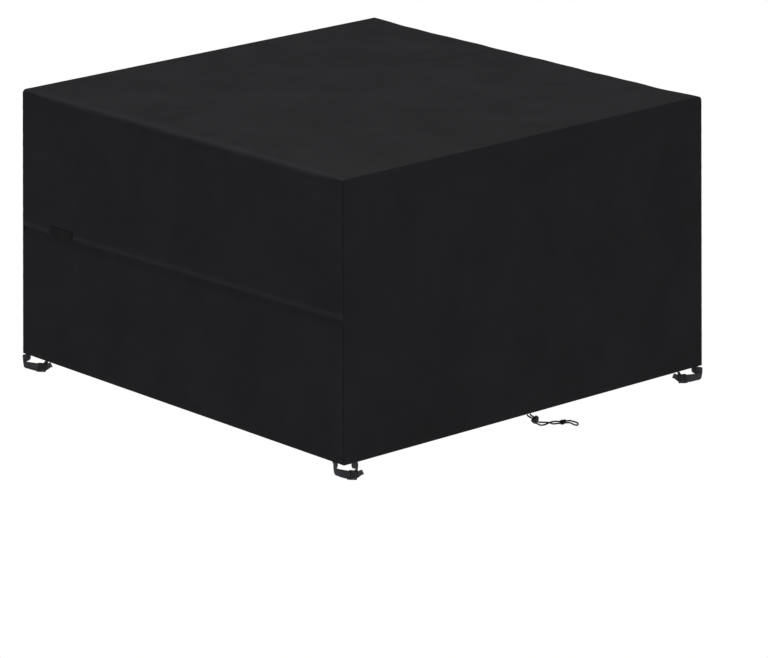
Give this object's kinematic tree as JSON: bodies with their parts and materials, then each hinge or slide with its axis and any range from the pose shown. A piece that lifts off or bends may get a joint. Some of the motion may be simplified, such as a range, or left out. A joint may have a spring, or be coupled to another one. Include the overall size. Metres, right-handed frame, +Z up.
{
  "type": "patio furniture cover",
  "caption": "Fitted square patio furniture cover, open below, with a flat top, sewn corner seams, a lapped panel join, leg straps with buckles at the hem and a drawcord with a cord lock.",
  "frame": {"origin": "centre of the underside of the top, where the hidden furniture's top holds the cover up", "axes": "+Z up; +X and +Y along the square's sides. The lapped join and label are on the -X side, and the drawcord leaves the hem on the -Y side"},
  "size_m": [1.2507, 1.2608, 0.7777],
  "materials": {
    "cover_cloth": "coated polyester weave, matt with a faint sheen",
    "label_ribbon": "bare woven ribbon",
    "webbing": "woven polypropylene webbing",
    "buckle_plastic": "moulded acetal, satin",
    "braided_cord": "braided polyester cord"
  },
  "bodies": {
    "root": {"bridge_panel": "cover_cloth", "lower_panel": "cover_cloth", "end_panel_front": "cover_cloth", "end_panel_back": "cover_cloth", "side_label": "label_ribbon", "strap_band_front": "webbing", "strap_leg_front": "webbing", "buckle_socket_front": "buckle_plastic", "buckle_prong_front": "buckle_plastic", "strap_band_left": "webbing", "strap_leg_left": "webbing", "buckle_socket_left": "buckle_plastic", "buckle_prong_left": "buckle_plastic", "strap_band_right": "webbing", "strap_leg_right": "webbing", "buckle_socket_right": "buckle_plastic", "buckle_prong_right": "buckle_plastic", "strap_band_back": "webbing", "strap_leg_back": "webbing", "buckle_socket_back": "buckle_plastic", "buckle_prong_back": "buckle_plastic", "cord_lock_barrel": "buckle_plastic", "cord_lock_plunger": "buckle_plastic", "drawcord": "braided_cord", "drawcord_knot": "braided_cord"}
  },
  "joints": []
}
